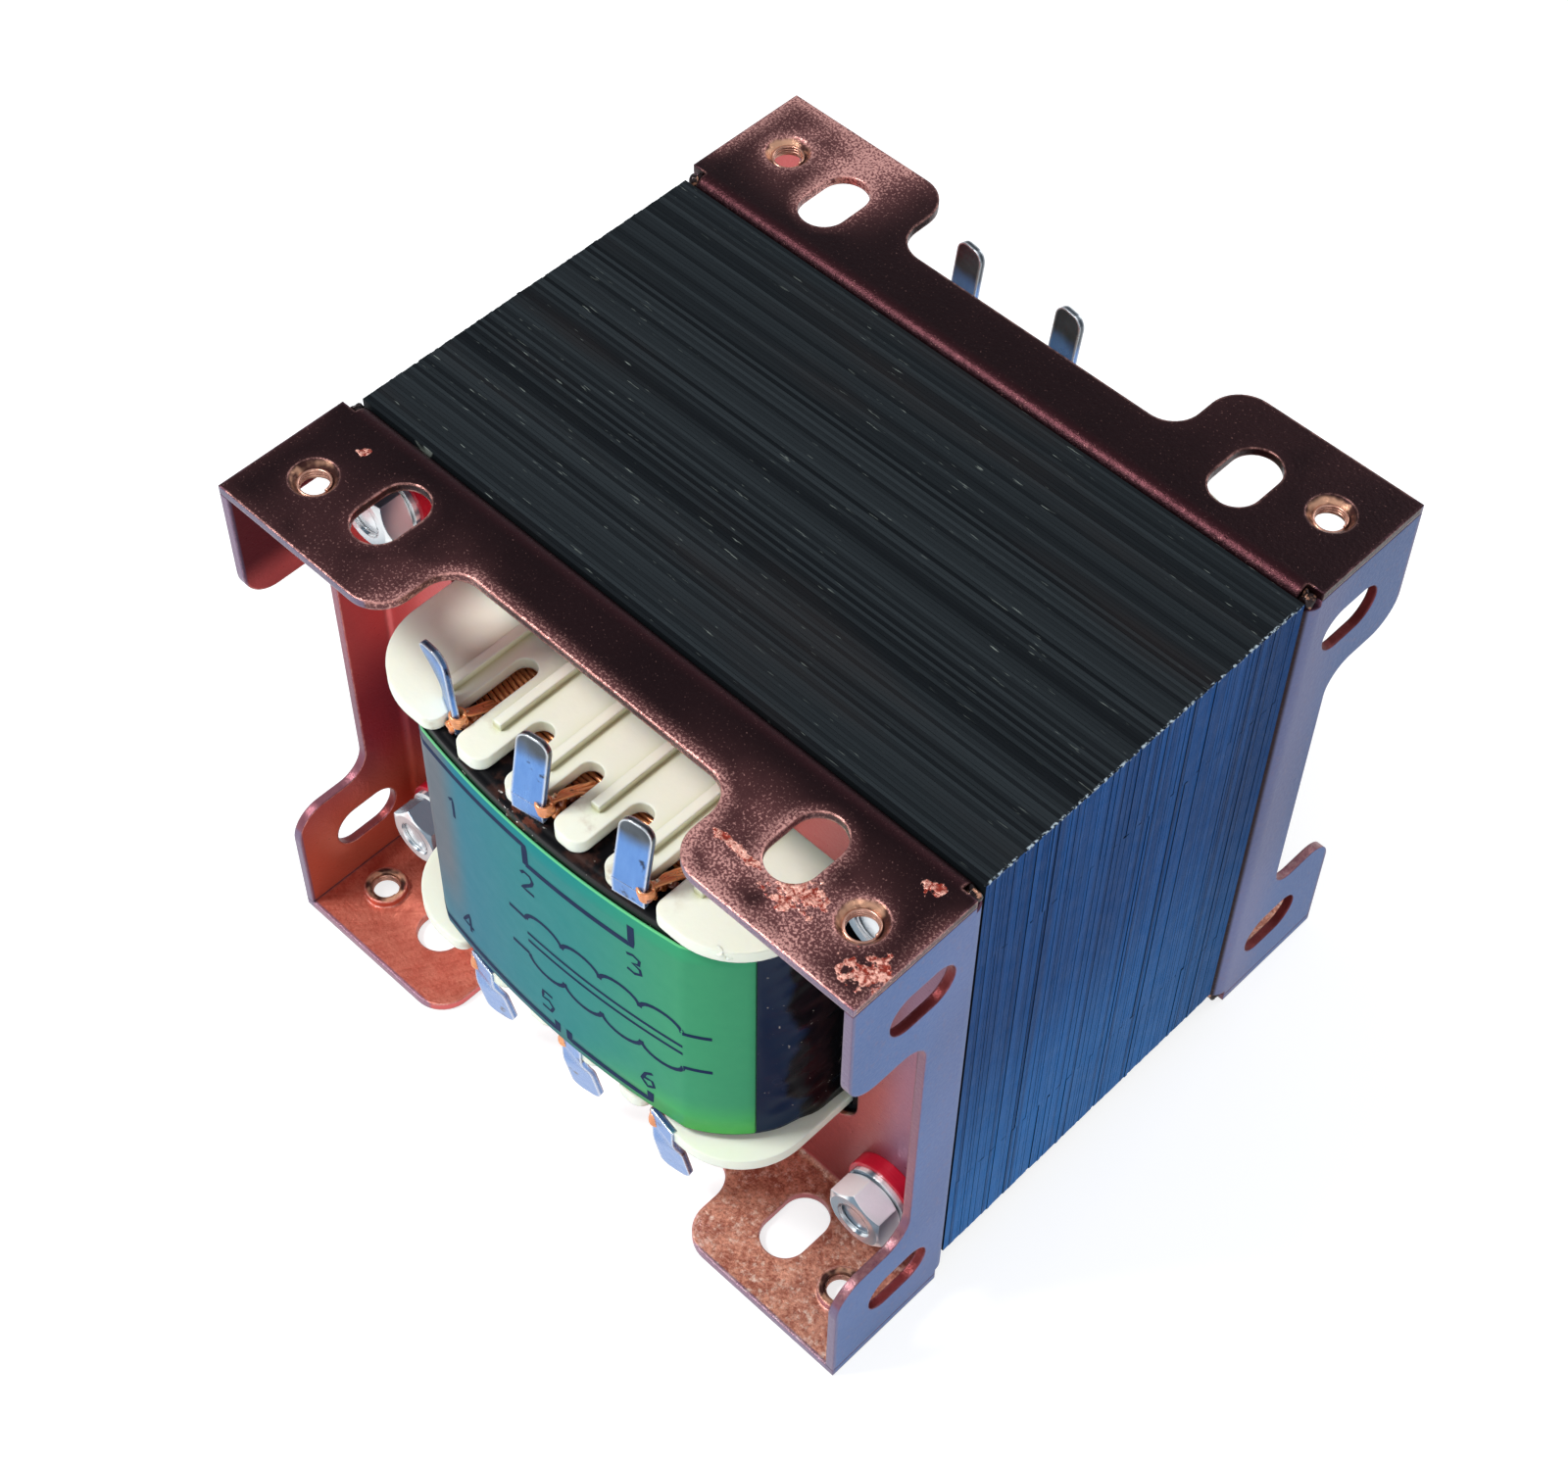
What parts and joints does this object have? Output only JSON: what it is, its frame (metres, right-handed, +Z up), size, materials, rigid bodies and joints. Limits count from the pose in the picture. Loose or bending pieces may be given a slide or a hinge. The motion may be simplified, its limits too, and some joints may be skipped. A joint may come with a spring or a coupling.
{
  "type": "audio output transformer",
  "caption": "Laminated-core output transformer clamped between two folded copper-plated end frames, with a comb bobbin and solder lugs at both ends.",
  "frame": {"origin": "centre of the base, on the plane of the frames' lower feet", "axes": "+X along the core's width, +Y through the stack towards the bolt heads, +Z up; the nuts and the label are on the -Y side"},
  "size_m": [0.0976, 0.0928, 0.0836],
  "materials": {
    "core_steel": "dark varnish over stacked sheet edges",
    "copper_plate": "darkened copper flash on folded sheet steel",
    "bobbin_plastic": "moulded glass-filled nylon",
    "copper_wire": "enamelled copper wire",
    "black_tape": "glossy polyester tape",
    "green_label": "plain printed card, blank",
    "tinned_metal": "tinned, satin",
    "zinc_plate": "bright zinc plating",
    "red_fibre": "vulcanised fibre"
  },
  "bodies": {
    "root": {"core_e_stack": "core_steel", "core_i_stack": "core_steel", "front_frame": "copper_plate", "rear_frame": "copper_plate", "bobbin": "bobbin_plastic", "winding": "copper_wire", "winding_tape": "black_tape", "label_card": "green_label", "lead_wires_front": "copper_wire", "lead_wires_rear": "copper_wire", "lug_front_top_1": "tinned_metal", "lug_front_top_2": "tinned_metal", "lug_front_top_3": "tinned_metal", "lug_front_bottom_1": "tinned_metal", "lug_front_bottom_2": "tinned_metal", "lug_front_bottom_3": "tinned_metal", "lug_rear_top_1": "tinned_metal", "lug_rear_top_2": "tinned_metal", "lug_rear_bottom_1": "tinned_metal", "lug_rear_bottom_2": "tinned_metal", "bolt_top_left": "zinc_plate", "bolt_top_right": "zinc_plate", "bolt_bottom_left": "zinc_plate", "bolt_bottom_right": "zinc_plate", "nut_top_left": "zinc_plate", "nut_top_right": "zinc_plate", "nut_bottom_left": "zinc_plate", "nut_bottom_right": "zinc_plate", "nut_washer_top_left": "zinc_plate", "nut_washer_top_right": "zinc_plate", "nut_washer_bottom_left": "zinc_plate", "nut_washer_bottom_right": "zinc_plate", "nut_fibre_washer_top_left": "red_fibre", "nut_fibre_washer_top_right": "red_fibre", "nut_fibre_washer_bottom_left": "red_fibre", "nut_fibre_washer_bottom_right": "red_fibre", "head_fibre_washer_top_left": "red_fibre", "head_fibre_washer_top_right": "red_fibre", "head_fibre_washer_bottom_left": "red_fibre", "head_fibre_washer_bottom_right": "red_fibre"}
  },
  "joints": []
}
